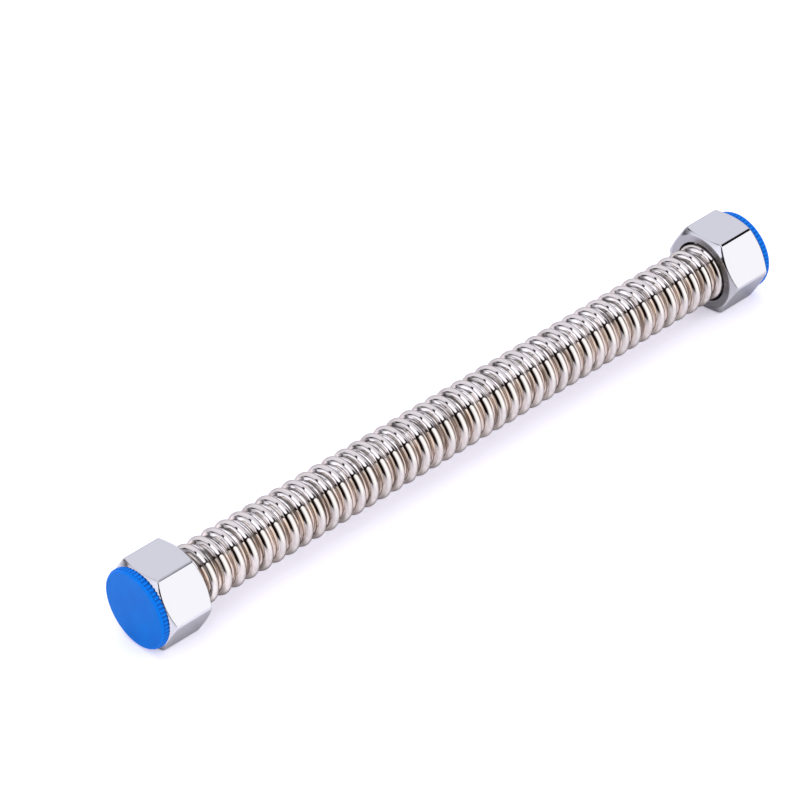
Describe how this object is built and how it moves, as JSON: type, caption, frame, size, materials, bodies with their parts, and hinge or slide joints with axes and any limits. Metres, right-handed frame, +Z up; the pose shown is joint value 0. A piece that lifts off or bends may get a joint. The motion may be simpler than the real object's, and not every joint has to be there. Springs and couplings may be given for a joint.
{
  "type": "corrugated stainless water hose",
  "caption": "Straight ring-corrugated thin steel water hose with a loose hexagon union nut, a flat gasket and a plug-in cap at each end.",
  "frame": {"origin": "on the floor under the middle of the hose, at the bottom centre of the bounding box", "axes": "+X along the hose from the near end to the far end, +Z up from the nuts' lower flats, +Y across"},
  "size_m": [0.2876, 0.034, 0.03],
  "materials": {
    "stainless_tube": "polished",
    "plated_nut": "bright plated",
    "gasket_rubber": "matt",
    "cap_plastic": "satin moulded"
  },
  "bodies": {
    "hose": {"corrugated_tube": "stainless_tube"},
    "near_seal": {"near_gasket": "gasket_rubber"},
    "near_nut": {"near_union_nut": "plated_nut"},
    "near_plug": {"near_cap": "cap_plastic"},
    "far_seal": {"far_gasket": "gasket_rubber"},
    "far_nut": {"far_union_nut": "plated_nut"},
    "far_plug": {"far_cap": "cap_plastic"}
  },
  "joints": [
    {"name": "near_nut_play", "type": "slide", "parent": "hose", "child": "near_seal", "axis": [-1, 0, 0], "range_m": [0, 0.0012]},
    {"name": "near_nut_swivel", "type": "hinge", "parent": "near_seal", "child": "near_nut", "pos_m": [-0.132, 0, 0.015], "axis": [-1, 0, 0], "continuous": true},
    {"name": "near_cap_pull", "type": "slide", "parent": "near_nut", "child": "near_plug", "axis": [-1, 0, 0], "range_m": [0, 0.03]},
    {"name": "far_nut_play", "type": "slide", "parent": "hose", "child": "far_seal", "axis": [1, 0, 0], "range_m": [0, 0.0012]},
    {"name": "far_nut_swivel", "type": "hinge", "parent": "far_seal", "child": "far_nut", "pos_m": [0.132, 0, 0.015], "axis": [1, 0, 0], "continuous": true},
    {"name": "far_cap_pull", "type": "slide", "parent": "far_nut", "child": "far_plug", "axis": [1, 0, 0], "range_m": [0, 0.03]}
  ]
}
